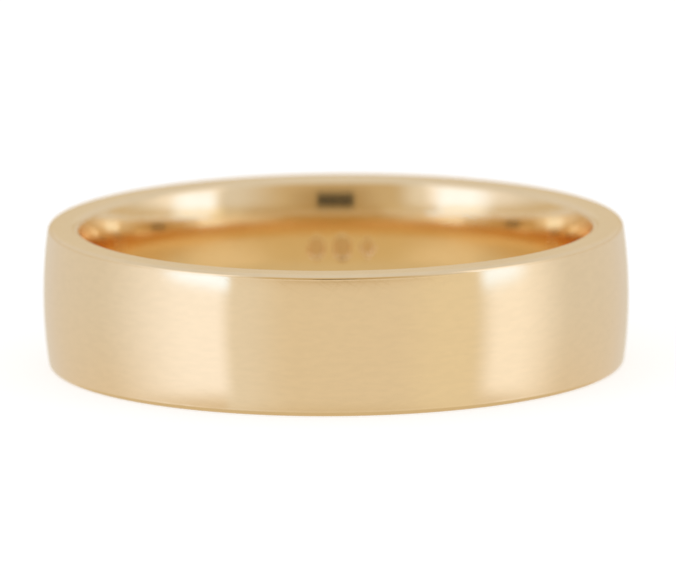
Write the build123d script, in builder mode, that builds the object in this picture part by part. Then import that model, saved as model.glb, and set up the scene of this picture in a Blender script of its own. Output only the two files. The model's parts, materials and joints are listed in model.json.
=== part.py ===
"""Plain gold wedding band: one seamless ring with a softly domed outside, flat side faces and a comfort-fit bore.

Frame: the finger axis is +Z, and the origin is the centre of the bore at half the band's width, so the two side
faces lie half a width above and below it. A row of three plain punch marks is inside the bore, near +Y.
All sizes are in millimetres and all angles in degrees.
"""

from build123d import *
from math import cos, degrees, radians, sin, sqrt
import os

# The ring
BORE_DIAMETER = 19.0  # narrowest part of the bore, US ring size 9
WALL = 1.7  # thickest part of the wall, at the crown of the dome
BAND_WIDTH = 5.4  # along the finger
DOME_DROP = 0.2  # fall of the outside from its crown to the side faces
OUTER_EDGE_RADIUS = 0.2  # break between the dome and a side face
INNER_EDGE_RADIUS = 0.35  # break between a side face and the comfort curve
COMFORT_RADIUS = 7.0  # profile radius of the curved ends of the bore
LAND_LENGTH = 0.9  # straight cylindrical middle of the bore

# The punch marks
MARK_BEARING = 88.5  # direction of the middle mark, anticlockwise from +X
MARK_PITCH = 1.0  # between the centres of neighbouring marks, along the wall
MARK_HEIGHT = 0.9  # along the finger
MARK_WIDTH = 0.7  # along the wall
MARK_CORNER = 0.18  # cut off each corner of the middle mark
MARK_DEPTH = 0.06  # below the bore wall
MARK_OVERCUT = 0.2  # how far a mark's cutter runs into the open bore, past its floor

# Worked out from the sizes above
BORE_RADIUS = BORE_DIAMETER / 2
CROWN_RADIUS = BORE_RADIUS + WALL
SHOULDER_RADIUS = CROWN_RADIUS - DOME_DROP
HALF_WIDTH = BAND_WIDTH / 2
LAND_HALF = LAND_LENGTH / 2
MARK_STEP = degrees(MARK_PITCH / BORE_RADIUS)

# A comfort curve leaves the land at a tangent, and this is where it would reach the plane of a side face
FLARE = COMFORT_RADIUS - sqrt(COMFORT_RADIUS**2 - (HALF_WIDTH - LAND_HALF) ** 2)
MOUTH_RADIUS = BORE_RADIUS + FLARE


def mark_plane(bearing):
    """The floor of a mark: a plane square to its bearing that faces the finger axis, with Y along the finger."""
    outward = Vector(cos(radians(bearing)), sin(radians(bearing)), 0)
    along_wall = Vector(sin(radians(bearing)), -cos(radians(bearing)), 0)
    return Plane(origin=outward * (BORE_RADIUS + MARK_DEPTH), x_dir=along_wall, z_dir=-outward)


with BuildPart() as band:
    # The wall's cross-section, drawn with sharp corners. Counting outwards from the finger axis, its corners are the
    # two ends of the land, the two at the mouths of the bore and the two on the shoulders of the dome.
    with BuildSketch(Plane.XZ) as section:
        with BuildLine():
            dome = ThreePointArc(
                (SHOULDER_RADIUS, -HALF_WIDTH),
                (CROWN_RADIUS, 0),
                (SHOULDER_RADIUS, HALF_WIDTH),
            )
            upper_side = Line(dome @ 1, (MOUTH_RADIUS, HALF_WIDTH))
            upper_comfort = TangentArc((BORE_RADIUS, LAND_HALF), upper_side @ 1, tangent=(0, 1))
            land = Line(upper_comfort @ 0, (BORE_RADIUS, -LAND_HALF))
            lower_comfort = TangentArc(land @ 1, (MOUTH_RADIUS, -HALF_WIDTH), tangent=(0, -1))
            Line(lower_comfort @ 1, dome @ 0)
        make_face()
        fillet(section.vertices().group_by(Axis.X)[1], radius=INNER_EDGE_RADIUS)
        fillet(section.vertices().group_by(Axis.X)[-1], radius=OUTER_EDGE_RADIUS)
    revolve(axis=Axis.Z)

    # Oval mark
    with BuildSketch(mark_plane(MARK_BEARING + MARK_STEP)):
        Ellipse(MARK_WIDTH / 2, MARK_HEIGHT / 2)
    extrude(amount=MARK_OVERCUT, mode=Mode.SUBTRACT)

    # Oblong mark with cut corners
    with BuildSketch(mark_plane(MARK_BEARING)):
        oblong = Rectangle(MARK_WIDTH, MARK_HEIGHT)
        chamfer(oblong.vertices(), length=MARK_CORNER)
    extrude(amount=MARK_OVERCUT, mode=Mode.SUBTRACT)

    # Lozenge mark
    with BuildSketch(mark_plane(MARK_BEARING - MARK_STEP)):
        with BuildLine():
            Polyline(
                (MARK_WIDTH / 2, 0),
                (0, MARK_HEIGHT / 2),
                (-MARK_WIDTH / 2, 0),
                (0, -MARK_HEIGHT / 2),
                close=True,
            )
        make_face()
    extrude(amount=MARK_OVERCUT, mode=Mode.SUBTRACT)

band.part.label = "band"

os.makedirs("parts", exist_ok=True)
export_step(band.part, "parts/band.step")
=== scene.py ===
"""Studio picture of the plain gold wedding band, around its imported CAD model.

The band is rebuilt as one dense surface of revolution whose profile is the CAD section, with the three
blank punch marks pressed into the bore. It lies on a pale floor inside a light tent, which the world shader
draws. Lengths are in metres. The tent's bearings are in degrees from the direction that faces the camera,
positive to the camera's right. The mesh's bearings are in radians, anticlockwise from +X.
"""

import json
import math
from collections import namedtuple

import bpy
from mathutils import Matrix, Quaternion, Vector


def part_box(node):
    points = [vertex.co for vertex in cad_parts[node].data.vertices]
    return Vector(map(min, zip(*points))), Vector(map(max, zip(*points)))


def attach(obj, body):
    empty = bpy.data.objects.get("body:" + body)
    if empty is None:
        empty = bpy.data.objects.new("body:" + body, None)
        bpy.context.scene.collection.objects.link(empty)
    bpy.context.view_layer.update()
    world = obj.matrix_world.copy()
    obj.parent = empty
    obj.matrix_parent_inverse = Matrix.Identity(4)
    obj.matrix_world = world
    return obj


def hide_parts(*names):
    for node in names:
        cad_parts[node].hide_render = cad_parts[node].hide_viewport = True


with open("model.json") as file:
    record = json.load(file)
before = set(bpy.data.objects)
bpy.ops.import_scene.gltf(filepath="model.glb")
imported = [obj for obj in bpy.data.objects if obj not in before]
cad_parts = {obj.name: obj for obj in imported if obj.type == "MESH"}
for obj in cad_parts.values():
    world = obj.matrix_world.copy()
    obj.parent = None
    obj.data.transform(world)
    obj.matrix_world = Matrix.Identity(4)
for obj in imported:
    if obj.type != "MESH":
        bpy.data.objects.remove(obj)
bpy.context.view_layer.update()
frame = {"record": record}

MM = 0.001

# Sizes that the frame states
LOW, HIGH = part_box("band")
BORE = next(m for m in frame["record"]["mounts"] if m["name"] == "finger_bore")
HALF_WIDTH = (HIGH.z - LOW.z) / 2
BORE_RADIUS = BORE["dims"]["r_mm"] * MM
LAND_HALF = BORE["dims"]["length_mm"] / 2 * MM

# Profile sizes, as in the CAD section
WALL = 1.7 * MM
CROWN_RADIUS = BORE_RADIUS + WALL
DOME_DROP = 0.2 * MM
OUTER_EDGE_RADIUS = 0.2 * MM
INNER_EDGE_RADIUS = 0.35 * MM
COMFORT_RADIUS = 7.0 * MM

# Punch marks, as in the CAD, apart from the slope of their sides
MARK_BEARING = math.radians(88.5)
MARK_PITCH = 1.0 * MM
MARK_HEIGHT = 0.9 * MM
MARK_WIDTH = 0.7 * MM
MARK_CORNER = 0.18 * MM
MARK_DEPTH = 0.06 * MM
MARK_SLOPE = 0.07 * MM

# Mesh density
DOME_STEPS = 28
OUTER_EDGE_STEPS = 10
SIDE_STEPS = 3
INNER_EDGE_STEPS = 9
COMFORT_STEPS = 16
LAND_STEPS = 50
COARSE_COLUMNS = 420
FINE_COLUMNS = 140
FINE_SPAN = math.radians(20)

# Camera
CAMERA_ELEVATION = math.radians(10.58)
CAMERA_ROLL = math.radians(0.468)
CAMERA_DISTANCE = 40 * CROWN_RADIUS
CLIP_START = CAMERA_DISTANCE / 10
BAND_SHARE = 0.865
FRAME_SHIFT = (0.0029, 0.0061)
SENSOR_WIDTH_MM = 36
# Width of the blur at the band's far side, with its near side in focus
FOCUS_BLUR = 0.35 * MM

# Gold, in linear light: its reflectance face on, the tint that this takes at a glancing angle, how much
# lighter and darker its cloudy patches are, and its reflectance in the marks
GOLD = (0.93, 0.74, 0.48)
GOLD_EDGE_TINT = (0.99, 0.97, 0.95)
GOLD_LIGHTER = 1.01
GOLD_DARKER = 0.985
GOLD_IN_MARKS = (0.90, 0.65, 0.36)

# Roughness of the plain gold, how far the clouds and the lines vary it, what a scratch adds, and the least
# that a mark has
ROUGHNESS = 0.09
CLOUD_ROUGHNESS = 0.02
LINE_ROUGHNESS = 0.015
SCRATCH_ROUGHNESS = 0.03
MARK_ROUGHNESS = 0.34

# How far polishing stretches a reflection up and down the wall, which is square to the lines that it leaves
BORE_STRETCH = 0.8
FACE_STRETCH = 0.35
STRETCH_FADE = 0.2 * MM
QUARTER_TURN = 0.25

# Surface relief: the size of each kind of unevenness along the band and across it, its height, and the detail
# of its noise
Relief = namedtuple("Relief", "along across height detail")
LINES = Relief(4.0 * MM, 0.05 * MM, 0.000022 * MM, 3.0)
WAVES = Relief(3.0 * MM, 2.0 * MM, 0.0030 * MM, 0.0)
NICKS = Relief(0.5 * MM, 0.15 * MM, 0.0035 * MM, 2.0)
CLOUDS = Relief(0.5 * MM, 0.2 * MM, 0.00005 * MM, 4.0)
SCRATCHES = Relief(2.2 * MM, 0.025 * MM, 0.00008 * MM, 0.0)
NOISE_MIDDLE = 0.5
CLOUD_FADE = 0.4

# The turns of the two sets of scratches, in radians, and the level of noise at which a scratch shows
SCRATCH_TURNS = (0.5, -0.9)
SCRATCH_FROM = 0.73
SCRATCH_FADE = 0.03

# Width of the nicked strip along each edge, and the share of a mark's depth at which its own gold shows
WORN_EDGE = 0.16 * MM
MARK_FROM = 0.1
MARK_FADE = 0.2

# Floor: how far it lies below the band, its half width, the paleness of its paper, and its own glow
FLOOR_GAP = 0.005 * MM
FLOOR_HALF = 3.0
FLOOR_PALE = 0.6
FLOOR_GLOW = 0.62

# Floor as the bore sees it, a glow with light painted in: golden light bounced off the wall, at the front and
# the back, and two painted pools of lamp light at the sides: how far out and how far back they lie, and the
# radius over which they end
BORE_FLOOR_SIDES = 96
BORE_FLOOR_PAST_WALL = 1.0 * MM
BORE_FLOOR_PAINTED_FRONT = (0.67, 0.51, 0.27)
BORE_FLOOR_PAINTED_BACK = (0.67, 0.55, 0.35)
BORE_FLOOR_PAINTED_LAMP_LIGHT = (0.82, 0.67, 0.44)
LAMP_POOL_PLACE = (6.8 * MM, 0.3 * MM)
LAMP_POOL_RADIUS = 3.2 * MM

# Light tent, in linear light. Its wall's colour drifts with elevation and is warmer behind the band. Rays
# that have crossed the bore meet a golden stretch of the wall over the far rim.
TENT_ABOVE = (0.74, 0.74, 0.75)
TENT_LEVEL = (0.75, 0.73, 0.71)
TENT_BELOW = (0.79, 0.68, 0.54)
TENT_BEHIND = (0.75, 0.69, 0.56)
TENT_OVER_RIM = (0.48, 0.33, 0.09)
WHITE = (1.0, 1.0, 1.0)

# Where those colours take over from one another, in degrees: the centre and the width of each change
LEVEL_CHANGE = (-20, 30)
ABOVE_CHANGE = (35, 40)
BEHIND_CHANGE = (165, 30)
RIM_CHANGE = (122, 40)
RIM_ELEVATION = (12, 50)
RIM_FADE = (10, 20)

# A ray deeper than this has had at least two glossy reflections
CROSSED_DEPTH = 1.5
GLOSSY_BOUNCES = 12

# A point of the wall's section: its distance from the finger axis, its height, and its normal's two parts
Station = namedtuple("Station", "radius height out up")

# A place on the wall: the two parts of its direction from the finger axis, scaled to the bore, a measure of
# how far across the section it is, its distance from the axis, and its height
Place = namedtuple("Place", "east north across radius up")

# A soft-edged patch of the tent: its colour, its range of bearing and of elevation in degrees, and the width
# over which each end of those ranges fades, in the order left, right, bottom, top
Patch = namedtuple("Patch", "colour bearing elevation fade")
ALL_ROUND = (-200, 200)

PATCHES = (
    # white table in front of the band, brighter to the right, and the wall beside the left panel
    Patch((0.78, 0.71, 0.60), (-35, 57), (-90, 5.5), (30, 30, 1, 1.5)),
    Patch((0.83, 0.76, 0.62), (32, 60), (-90, 5.5), (24, 14, 1, 1.5)),
    Patch((0.83, 0.80, 0.76), (-46, -28), (-90, 24), (4, 26, 1, 10)),
    # left panel and right panel, and the part of the right one that stands above the table
    Patch((1.07, 1.09, 1.20), (-83, -44), (-22.5, 42), (54, 8, 4, 20)),
    Patch((1.05, 1.04, 1.07), (61, 91), (-22.5, 42), (13, 34, 4, 20)),
    Patch((1.05, 1.04, 1.07), (56, 80), (5.5, 42), (10, 34, 1.5, 20)),
    # opening round the camera, and the dim line where the table meets the tent
    Patch((0.62, 0.50, 0.32), (-33, 35), (5.5, 40), (14, 30, 1.5, 26)),
    Patch((0.64, 0.51, 0.31), ALL_ROUND, (5.5, 9), (1, 1, 1.5, 6)),
    # left lamp and right lamp, with their warm lower edges
    Patch((1.15, 1.36, 1.78), (-73, -49), (7, 22), (18, 8, 6, 16)),
    Patch((1.15, 1.36, 1.78), (58, 79), (7, 20), (8, 14, 6, 16)),
    Patch((1.10, 0.98, 0.72), (-72, -50), (5.5, 8.5), (12, 8, 1.5, 5)),
    Patch((1.10, 0.98, 0.72), (54, 78), (5.5, 8.5), (8, 12, 1.5, 5)),
    # their reflections in the table
    Patch((1.12, 1.42, 2.00), (-70, -43), (1.5, 5.5), (14, 5, 3, 1.5)),
    Patch((1.09, 1.32, 1.76), (60, 79), (0, 5.5), (7, 14, 4, 1.5)),
    # shade over the lens, the darker part of the line below it, and the lens
    Patch((0.45, 0.32, 0.16), (-15, 17), (5.5, 21), (20, 22, 1.5, 10)),
    Patch((0.47, 0.31, 0.12), (-22, 42), (5.1, 8), (8, 12, 1.0, 5)),
    Patch((0.07, 0.06, 0.04), (-8.5, 8.5), (8.5, 17.5), (3, 3, 2, 2)),
    # floor close to the band, in its shade
    Patch((0.68, 0.58, 0.42), ALL_ROUND, (-120, -26.5), (1, 1, 1, 4)),
)


def arc(centre, radius, start, end, steps):
    """Stations along an arc of the section, without its last point.

    Angles are in degrees, anticlockwise from the direction away from the finger axis.
    """
    stations = []
    for step in range(steps):
        angle = math.radians(start + (end - start) * step / steps)
        out, up = math.cos(angle), math.sin(angle)
        stations.append(Station(centre[0] + radius * out, centre[1] + radius * up, out, up))
    return stations


def straight(start, end, steps, normal):
    """Stations along a straight stretch of the section, without its last point."""
    stations = []
    for step in range(steps):
        share = step / steps
        radius = start[0] + (end[0] - start[0]) * share
        height = start[1] + (end[1] - start[1]) * share
        stations.append(Station(radius, height, *normal))
    return stations


def section():
    """The closed section of the wall and its outward normals, anticlockwise from the dome's lower end."""
    dome_radius = (HALF_WIDTH**2 + DOME_DROP**2) / (2 * DOME_DROP)
    dome_centre = CROWN_RADIUS - dome_radius
    outer_height = HALF_WIDTH - OUTER_EDGE_RADIUS
    dome_tilt = math.asin(outer_height / (dome_radius - OUTER_EDGE_RADIUS))
    outer_radius = dome_centre + (dome_radius - OUTER_EDGE_RADIUS) * math.cos(dome_tilt)
    comfort_centre = BORE_RADIUS + COMFORT_RADIUS
    inner_height = HALF_WIDTH - INNER_EDGE_RADIUS
    comfort_tilt = math.asin((inner_height - LAND_HALF) / (COMFORT_RADIUS - INNER_EDGE_RADIUS))
    inner_radius = comfort_centre - (COMFORT_RADIUS - INNER_EDGE_RADIUS) * math.cos(comfort_tilt)
    dome_tilt = math.degrees(dome_tilt)
    comfort_tilt = math.degrees(comfort_tilt)
    return [
        *arc((dome_centre, 0), dome_radius, -dome_tilt, dome_tilt, DOME_STEPS),
        *arc((outer_radius, outer_height), OUTER_EDGE_RADIUS, dome_tilt, 90, OUTER_EDGE_STEPS),
        *straight((outer_radius, HALF_WIDTH), (inner_radius, HALF_WIDTH), SIDE_STEPS, (0, 1)),
        *arc((inner_radius, inner_height), INNER_EDGE_RADIUS, 90, 180 - comfort_tilt, INNER_EDGE_STEPS),
        *arc((comfort_centre, LAND_HALF), COMFORT_RADIUS, 180 - comfort_tilt, 180, COMFORT_STEPS),
        *straight((BORE_RADIUS, LAND_HALF), (BORE_RADIUS, -LAND_HALF), LAND_STEPS, (-1, 0)),
        *arc((comfort_centre, -LAND_HALF), COMFORT_RADIUS, 180, 180 + comfort_tilt, COMFORT_STEPS),
        *arc((inner_radius, -inner_height), INNER_EDGE_RADIUS, 180 + comfort_tilt, 270, INNER_EDGE_STEPS),
        *straight((inner_radius, -HALF_WIDTH), (outer_radius, -HALF_WIDTH), SIDE_STEPS, (0, -1)),
        *arc((outer_radius, -outer_height), OUTER_EDGE_RADIUS, 270, 360 - dome_tilt, OUTER_EDGE_STEPS),
    ]


def columns():
    """Bearings of the mesh columns: close together across the punch marks, wider apart round the rest."""
    start = MARK_BEARING - FINE_SPAN / 2
    fine = [start + FINE_SPAN * step / FINE_COLUMNS for step in range(FINE_COLUMNS)]
    rest = 2 * math.pi - FINE_SPAN
    coarse = [start + FINE_SPAN + rest * step / COARSE_COLUMNS for step in range(COARSE_COLUMNS)]
    return fine + coarse


def inside_oval(along, up):
    """Distance inside the oval mark's outline, roughly, and negative outside it."""
    reach = math.hypot(along / (MARK_WIDTH / 2), up / (MARK_HEIGHT / 2))
    return (1 - reach) * MARK_WIDTH / 2


def inside_oblong(along, up):
    """Distance inside the oblong mark with its corners cut."""
    to_side = MARK_WIDTH / 2 - abs(along)
    to_end = MARK_HEIGHT / 2 - abs(up)
    to_corner = (to_side + to_end - MARK_CORNER) / math.sqrt(2)
    return min(to_side, to_end, to_corner)


def inside_lozenge(along, up):
    """Distance inside the lozenge mark."""
    half_width, half_height = MARK_WIDTH / 2, MARK_HEIGHT / 2
    share = 1 - abs(along) / half_width - abs(up) / half_height
    return share * half_width * half_height / math.hypot(half_width, half_height)


def mark_depth(bearing, height):
    """How far the punches press the bore wall outwards at a place on it."""
    along = (MARK_BEARING - bearing) * BORE_RADIUS
    deepest = 0
    for place, inside in ((-1, inside_oval), (0, inside_oblong), (1, inside_lozenge)):
        share = inside(along - place * MARK_PITCH, height) / MARK_SLOPE
        share = min(max(share, 0), 1)
        deepest = max(deepest, MARK_DEPTH * share * share * (3 - 2 * share))
    return deepest


def build_band():
    """The band as one closed mesh of quads.

    Its normals are exact, except round the marks, where they are the mesh's own.
    """
    stations = section()
    bearings = columns()
    rows, cols = len(stations), len(bearings)
    vertices, normals, marked, pressed = [], [], [], []
    for bearing in bearings:
        east, north = math.cos(bearing), math.sin(bearing)
        for station in stations:
            depth = 0
            if station.out == -1 and abs(bearing - MARK_BEARING) < FINE_SPAN / 2:
                depth = mark_depth(bearing, station.height)
                marked.append(len(vertices))
            radius = station.radius + depth
            pressed.append(depth / MARK_DEPTH)
            vertices.append((radius * east, radius * north, station.height))
            normals.append((station.out * east, station.out * north, station.up))
    faces = []
    for col in range(cols):
        here, there = col * rows, (col + 1) % cols * rows
        for row in range(rows):
            above = (row + 1) % rows
            faces.append((here + row, there + row, there + above, here + above))
    mesh = bpy.data.meshes.new("band_gold")
    mesh.from_pydata(vertices, [], faces)
    mesh.shade_smooth()
    for index in marked:
        normals[index] = tuple(mesh.vertices[index].normal)
    mesh.normals_split_custom_set_from_vertices(normals)
    mesh.attributes.new("pressed", "FLOAT", "POINT").data.foreach_set("value", pressed)
    band = bpy.data.objects.new("band_gold", mesh)
    bpy.context.scene.collection.objects.link(band)
    return band


class Graph:
    """Adds nodes to a material or world. Inputs are numbers, colours or the outputs of other nodes."""

    def __init__(self, tree):
        self.tree = tree
        tree.nodes.clear()

    def feed(self, socket, value):
        """Links an output to a socket, or sets the socket's own value."""
        if isinstance(value, bpy.types.NodeSocket):
            self.tree.links.new(value, socket)
        elif socket.type == "RGBA":
            socket.default_value = (*value, 1)
        else:
            socket.default_value = value

    def node(self, kind, inputs=None, **settings):
        """A new node of a kind, with its settings and its inputs by name or by number."""
        made = self.tree.nodes.new(kind)
        for name, value in settings.items():
            setattr(made, name, value)
        for name, value in (inputs or {}).items():
            self.feed(made.inputs[name], value)
        return made

    def math(self, operation, *values):
        """The result of a maths node."""
        return self.node("ShaderNodeMath", dict(enumerate(values)), operation=operation).outputs[0]

    def rise(self, value, centre, width):
        """0 below a centre and 1 above it, changing smoothly over a width."""
        ends = {"Value": value, "From Min": centre - width / 2, "From Max": centre + width / 2}
        return self.node("ShaderNodeMapRange", ends, interpolation_type="SMOOTHSTEP").outputs["Result"]

    def window(self, value, ends, fades):
        """1 between two ends and 0 outside them, with a smooth fade at each."""
        over = self.rise(value, ends[0], fades[0])
        under = self.math("SUBTRACT", 1.0, self.rise(value, ends[1], fades[1]))
        return self.math("MULTIPLY", over, under)

    def mix(self, share, first, second):
        """Colour between two colours, by a share of the second."""
        mixer = self.node("ShaderNodeMix", data_type="RGBA")
        self.feed(mixer.inputs["Factor"], share)
        for socket, value in zip((s for s in mixer.inputs if s.type == "RGBA"), (first, second)):
            self.feed(socket, value)
        return next(s for s in mixer.outputs if s.type == "RGBA")


def build_tent():
    """World shader: a soft tent with bright side panels and lamps, and a dim opening that holds the camera.

    The camera itself sees plain white instead.
    """
    world = bpy.data.worlds.new("light_tent")
    world.use_nodes = True
    graph = Graph(world.node_tree)
    direction = graph.node("ShaderNodeTexCoord").outputs["Generated"]
    east, north, up = graph.node("ShaderNodeSeparateXYZ", {0: direction}).outputs
    to_degrees = math.degrees(1)
    bearing = graph.math("ARCTAN2", east, graph.math("MULTIPLY", north, -1.0))
    bearing = graph.math("MULTIPLY", bearing, to_degrees)
    elevation = graph.math("MULTIPLY", graph.math("ARCSINE", up), to_degrees)
    colour = graph.mix(graph.rise(elevation, *LEVEL_CHANGE), TENT_BELOW, TENT_LEVEL)
    away = graph.math("ABSOLUTE", bearing)
    colour = graph.mix(graph.rise(away, *BEHIND_CHANGE), colour, TENT_BEHIND)
    colour = graph.mix(graph.rise(elevation, *ABOVE_CHANGE), colour, TENT_ABOVE)
    path = graph.node("ShaderNodeLightPath").outputs
    crossed = graph.math("GREATER_THAN", path["Glossy Depth"], CROSSED_DEPTH)
    rim_upright = graph.window(elevation, RIM_ELEVATION, RIM_FADE)
    over_rim = graph.math("MULTIPLY", graph.rise(away, *RIM_CHANGE), rim_upright)
    colour = graph.mix(graph.math("MULTIPLY", crossed, over_rim), colour, TENT_OVER_RIM)
    for patch in PATCHES:
        across = graph.window(bearing, patch.bearing, patch.fade[:2])
        upright = graph.window(elevation, patch.elevation, patch.fade[2:])
        colour = graph.mix(graph.math("MULTIPLY", across, upright), colour, patch.colour)
    colour = graph.mix(path["Is Camera Ray"], colour, WHITE)
    background = graph.node("ShaderNodeBackground", {"Color": colour})
    output = graph.node("ShaderNodeOutputWorld")
    graph.tree.links.new(background.outputs[0], output.inputs[0])
    bpy.context.scene.world = world


def wall_place(graph):
    """The shaded point's place on the wall. Its direction is in two parts so that noise has no seam."""
    place = graph.node("ShaderNodeTexCoord").outputs["Object"]
    east, north, up = graph.node("ShaderNodeSeparateXYZ", {0: place}).outputs
    squares = graph.math("ADD", graph.math("MULTIPLY", east, east), graph.math("MULTIPLY", north, north))
    radius = graph.math("SQRT", squares)
    round_east = graph.math("MULTIPLY", graph.math("DIVIDE", east, radius), BORE_RADIUS)
    round_north = graph.math("MULTIPLY", graph.math("DIVIDE", north, radius), BORE_RADIUS)
    return Place(round_east, round_north, graph.math("ADD", up, radius), radius, up)


def unevenness(graph, place, relief, turn=0.0):
    """Noise from 0 to 1, longer round the band than across it, with its grain turned by an angle."""
    lean = graph.math("MULTIPLY", place.east, math.sin(turn))
    across = graph.math("ADD", graph.math("MULTIPLY", place.across, math.cos(turn)), lean)
    scaled = {
        0: graph.math("DIVIDE", place.east, relief.along),
        1: graph.math("DIVIDE", place.north, relief.along),
        2: graph.math("DIVIDE", across, relief.across),
    }
    vector = graph.node("ShaderNodeCombineXYZ", scaled).outputs[0]
    noise = graph.node("ShaderNodeTexNoise", {"Vector": vector, "Scale": 1.0, "Detail": relief.detail})
    return noise.outputs[0]


def gold_material():
    """Polished yellow gold: fine polishing lines, cloudy patches, hairline scratches and nicked edges."""
    material = bpy.data.materials.new("polished_gold")
    material.use_nodes = True
    graph = Graph(material.node_tree)
    place = wall_place(graph)
    lines = unevenness(graph, place, LINES)
    waves = unevenness(graph, place, WAVES)
    nicks = unevenness(graph, place, NICKS)
    clouds = unevenness(graph, place, CLOUDS)
    first, second = (unevenness(graph, place, SCRATCHES, turn) for turn in SCRATCH_TURNS)
    scratches = graph.rise(graph.math("MAXIMUM", first, second), SCRATCH_FROM, SCRATCH_FADE)
    edge = graph.rise(graph.math("ABSOLUTE", place.up), HALF_WIDTH - WORN_EDGE, WORN_EDGE)
    pressed = graph.node("ShaderNodeAttribute", attribute_name="pressed").outputs["Fac"]
    marked = graph.rise(pressed, MARK_FROM, MARK_FADE)

    relief = graph.math("MULTIPLY", lines, LINES.height)
    relief = graph.math("MULTIPLY_ADD", clouds, CLOUDS.height, relief)
    relief = graph.math("MULTIPLY_ADD", waves, WAVES.height, relief)
    relief = graph.math("MULTIPLY_ADD", graph.math("MULTIPLY", nicks, edge), NICKS.height, relief)
    relief = graph.math("MULTIPLY_ADD", scratches, -SCRATCHES.height, relief)
    bump = graph.node("ShaderNodeBump", {"Height": relief, "Distance": 1.0, "Strength": 1.0})

    cloud_swing = graph.math("SUBTRACT", clouds, NOISE_MIDDLE)
    line_swing = graph.math("SUBTRACT", lines, NOISE_MIDDLE)
    rough = graph.math("MULTIPLY_ADD", cloud_swing, CLOUD_ROUGHNESS, ROUGHNESS)
    rough = graph.math("MULTIPLY_ADD", line_swing, LINE_ROUGHNESS, rough)
    rough = graph.math("MULTIPLY_ADD", scratches, SCRATCH_ROUGHNESS, rough)
    rough = graph.math("MAXIMUM", rough, graph.math("MULTIPLY", marked, MARK_ROUGHNESS))

    darker = tuple(level * GOLD_DARKER for level in GOLD)
    lighter = tuple(level * GOLD_LIGHTER for level in GOLD)
    colour = graph.mix(graph.rise(clouds, NOISE_MIDDLE, CLOUD_FADE), darker, lighter)
    colour = graph.mix(marked, colour, GOLD_IN_MARKS)

    on_face = graph.rise(place.radius, (BORE_RADIUS + CROWN_RADIUS) / 2, STRETCH_FADE)
    stretch = graph.math("MULTIPLY_ADD", on_face, FACE_STRETCH - BORE_STRETCH, BORE_STRETCH)
    round_band = graph.node("ShaderNodeTangent", direction_type="RADIAL", axis="Z").outputs[0]

    inputs = {
        "Base Color": colour,
        "Metallic": 1.0,
        "Roughness": rough,
        "Specular Tint": GOLD_EDGE_TINT,
        "Anisotropic": stretch,
        "Anisotropic Rotation": QUARTER_TURN,
        "Tangent": round_band,
        "Normal": bump.outputs[0],
    }
    shader = graph.node("ShaderNodeBsdfPrincipled", inputs)
    output = graph.node("ShaderNodeOutputMaterial")
    graph.tree.links.new(shader.outputs[0], output.inputs[0])
    return material


def floor_material():
    """Pale matt paper that glows a little, so that the tent's light leaves it almost white."""
    material = bpy.data.materials.new("pale_paper")
    material.use_nodes = True
    graph = Graph(material.node_tree)
    paper = graph.node("ShaderNodeBsdfDiffuse", {"Color": (FLOOR_PALE,) * 3})
    glow = graph.node("ShaderNodeEmission", {"Color": WHITE, "Strength": FLOOR_GLOW})
    both = graph.node("ShaderNodeAddShader", {0: paper.outputs[0], 1: glow.outputs[0]})
    output = graph.node("ShaderNodeOutputMaterial")
    graph.tree.links.new(both.outputs[0], output.inputs[0])
    return material


def bore_floor_painted_light():
    """The floor as the bore wall sees it: painted golden bounce light, paler at the back, and painted pools
    of lamp light on either side.
    """
    material = bpy.data.materials.new("paper_with_painted_gold_light")
    material.use_nodes = True
    graph = Graph(material.node_tree)
    place = graph.node("ShaderNodeNewGeometry").outputs["Position"]
    east, north, up = graph.node("ShaderNodeSeparateXYZ", {0: place}).outputs
    # Painted light: the glow is golden from light bounced off the wall, deeper at the front and paler at the
    # back
    colour = graph.mix(graph.rise(north, 0, BORE_RADIUS), BORE_FLOOR_PAINTED_FRONT, BORE_FLOOR_PAINTED_BACK)
    # Painted pools of the lamps' light, one on either side
    aside = graph.math("SUBTRACT", graph.math("ABSOLUTE", east), LAMP_POOL_PLACE[0])
    along = graph.math("SUBTRACT", north, LAMP_POOL_PLACE[1])
    squares = graph.math("ADD", graph.math("MULTIPLY", aside, aside), graph.math("MULTIPLY", along, along))
    beyond = graph.rise(graph.math("SQRT", squares), LAMP_POOL_RADIUS, LAMP_POOL_RADIUS)
    colour = graph.mix(beyond, BORE_FLOOR_PAINTED_LAMP_LIGHT, colour)
    glow = graph.node("ShaderNodeEmission", {"Color": colour})
    output = graph.node("ShaderNodeOutputMaterial")
    graph.tree.links.new(glow.outputs[0], output.inputs[0])
    return material


def flat_sheet(name, outline, height, material):
    """A level sheet of one face."""
    mesh = bpy.data.meshes.new(name)
    mesh.from_pydata([(x, y, height) for x, y in outline], [], [tuple(range(len(outline)))])
    mesh.materials.append(material)
    sheet = bpy.data.objects.new(name, mesh)
    bpy.context.scene.collection.objects.link(sheet)
    return sheet


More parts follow.
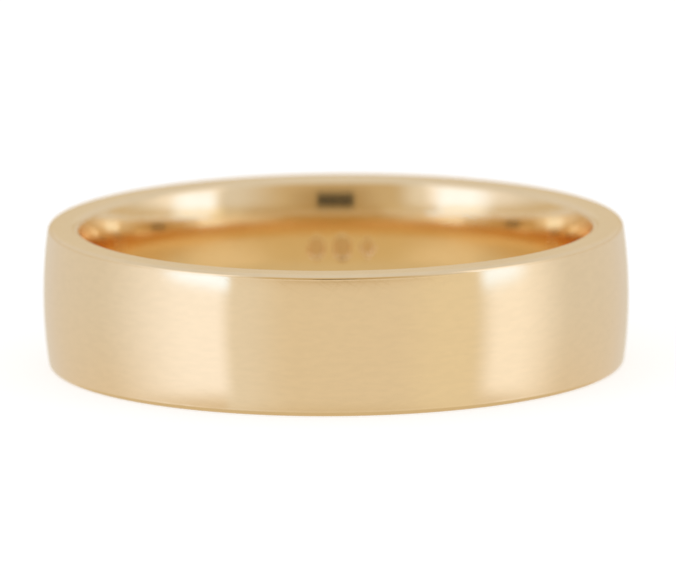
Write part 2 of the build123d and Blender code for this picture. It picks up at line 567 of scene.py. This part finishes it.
def build_floor():
    """The floor, which mirror rays pass through, and a patch of it inside the bore, which only they see and
    which glows with painted light.
    """
    material = floor_material()
    height = LOW.z - FLOOR_GAP
    corners = ((-1, -1), (1, -1), (1, 1), (-1, 1))
    square = [(FLOOR_HALF * east, FLOOR_HALF * north) for east, north in corners]
    floor = flat_sheet("floor", square, height, material)
    floor.visible_glossy = False
    turns = [2 * math.pi * step / BORE_FLOOR_SIDES for step in range(BORE_FLOOR_SIDES)]
    reach = BORE_RADIUS + BORE_FLOOR_PAST_WALL
    circle = [(reach * math.cos(turn), reach * math.sin(turn)) for turn in turns]
    # The patch's glow is painted light: golden bounce light and pools of lamp light
    patch = flat_sheet("floor_in_bore", circle, height, bore_floor_painted_light())
    patch.visible_camera = False
    patch.visible_diffuse = False
    patch.visible_shadow = False


def build_camera():
    """Camera far off with a long lens, framed so that the band nearly fills the picture's width."""
    toward = Vector((0, -math.cos(CAMERA_ELEVATION), math.sin(CAMERA_ELEVATION)))
    data = bpy.data.cameras.new("camera")
    data.sensor_width = SENSOR_WIDTH_MM
    data.lens = SENSOR_WIDTH_MM * BAND_SHARE * CAMERA_DISTANCE / (2 * CROWN_RADIUS)
    data.shift_x, data.shift_y = FRAME_SHIFT
    camera = bpy.data.objects.new("camera", data)
    camera.location = toward * CAMERA_DISTANCE
    camera.rotation_mode = "QUATERNION"
    camera.rotation_quaternion = (-toward).to_track_quat("-Z", "Y") @ Quaternion((0, 0, 1), -CAMERA_ROLL)
    data.clip_start = CLIP_START
    aim = bpy.data.objects.new("camera_aim", None)
    near_side = bpy.data.objects.new("near_side", None)
    for empty in (aim, near_side):
        bpy.context.scene.collection.objects.link(empty)
    near_side.parent = aim
    near_side.location = (0, CROWN_RADIUS, 0)
    track = aim.constraints.new("DAMPED_TRACK")
    track.target = camera
    track.track_axis = "TRACK_Y"
    data.dof.use_dof = True
    data.dof.focus_object = near_side
    aperture = FOCUS_BLUR * CAMERA_DISTANCE / (2 * CROWN_RADIUS)
    data.dof.aperture_fstop = data.lens * MM / aperture
    bpy.context.scene.collection.objects.link(camera)
    bpy.context.scene.camera = camera


bpy.context.scene.view_settings.view_transform = "Standard"
bpy.context.scene.cycles.glossy_bounces = GLOSSY_BOUNCES
build_tent()
build_floor()
band = build_band()
band.data.materials.append(gold_material())
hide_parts("band")
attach(band, "root")
build_camera()
